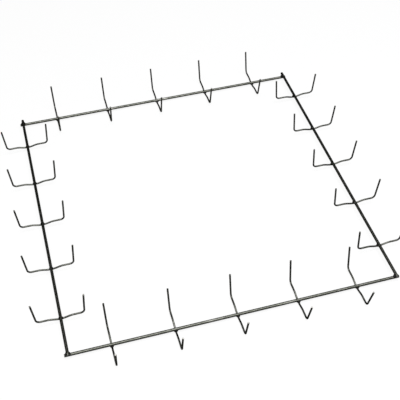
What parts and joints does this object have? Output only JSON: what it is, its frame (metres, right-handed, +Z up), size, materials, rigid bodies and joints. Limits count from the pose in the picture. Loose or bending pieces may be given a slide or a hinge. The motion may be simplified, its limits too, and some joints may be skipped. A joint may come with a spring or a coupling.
{
  "type": "square wire clamp frame",
  "caption": "Square frame of straight welded steel rods, with U-shaped wire prongs standing along every side to grip material laid along the rods.",
  "frame": {"origin": "middle of the square, level with the undersides of the front and back prongs, which the frame stands on", "axes": "+X to the right along the front and back rods, +Y from the front rod to the back rod, +Z up, the way the prong arms point"},
  "size_m": [0.4708, 0.479, 0.0421],
  "materials": {
    "rod_steel": "dark drawn steel wire, satin to glossy",
    "prong_steel": "dark drawn steel wire, satin to glossy",
    "weld_metal": "dark, rough, heat-tinted weld metal"
  },
  "bodies": {
    "root": {"left_rod": "rod_steel", "right_rod": "rod_steel", "front_rod": "rod_steel", "back_rod": "rod_steel", "left_prong_1": "prong_steel", "left_prong_2": "prong_steel", "left_prong_3": "prong_steel", "left_prong_4": "prong_steel", "left_prong_5": "prong_steel", "right_prong_1": "prong_steel", "right_prong_2": "prong_steel", "right_prong_3": "prong_steel", "right_prong_4": "prong_steel", "right_prong_5": "prong_steel", "front_prong_1": "prong_steel", "front_prong_2": "prong_steel", "front_prong_3": "prong_steel", "front_prong_4": "prong_steel", "front_prong_5": "prong_steel", "back_prong_1": "prong_steel", "back_prong_2": "prong_steel", "back_prong_3": "prong_steel", "back_prong_4": "prong_steel", "back_prong_5": "prong_steel", "left_prong_weld_1": "weld_metal", "left_prong_weld_2": "weld_metal", "left_prong_weld_3": "weld_metal", "left_prong_weld_4": "weld_metal", "left_prong_weld_5": "weld_metal", "right_prong_weld_1": "weld_metal", "right_prong_weld_2": "weld_metal", "right_prong_weld_3": "weld_metal", "right_prong_weld_4": "weld_metal", "right_prong_weld_5": "weld_metal", "front_prong_weld_1": "weld_metal", "front_prong_weld_2": "weld_metal", "front_prong_weld_3": "weld_metal", "front_prong_weld_4": "weld_metal", "front_prong_weld_5": "weld_metal", "back_prong_weld_1": "weld_metal", "back_prong_weld_2": "weld_metal", "back_prong_weld_3": "weld_metal", "back_prong_weld_4": "weld_metal", "back_prong_weld_5": "weld_metal", "back_left_corner_weld": "weld_metal", "back_right_corner_weld": "weld_metal", "front_left_corner_weld": "weld_metal", "front_right_corner_weld": "weld_metal"}
  },
  "joints": []
}
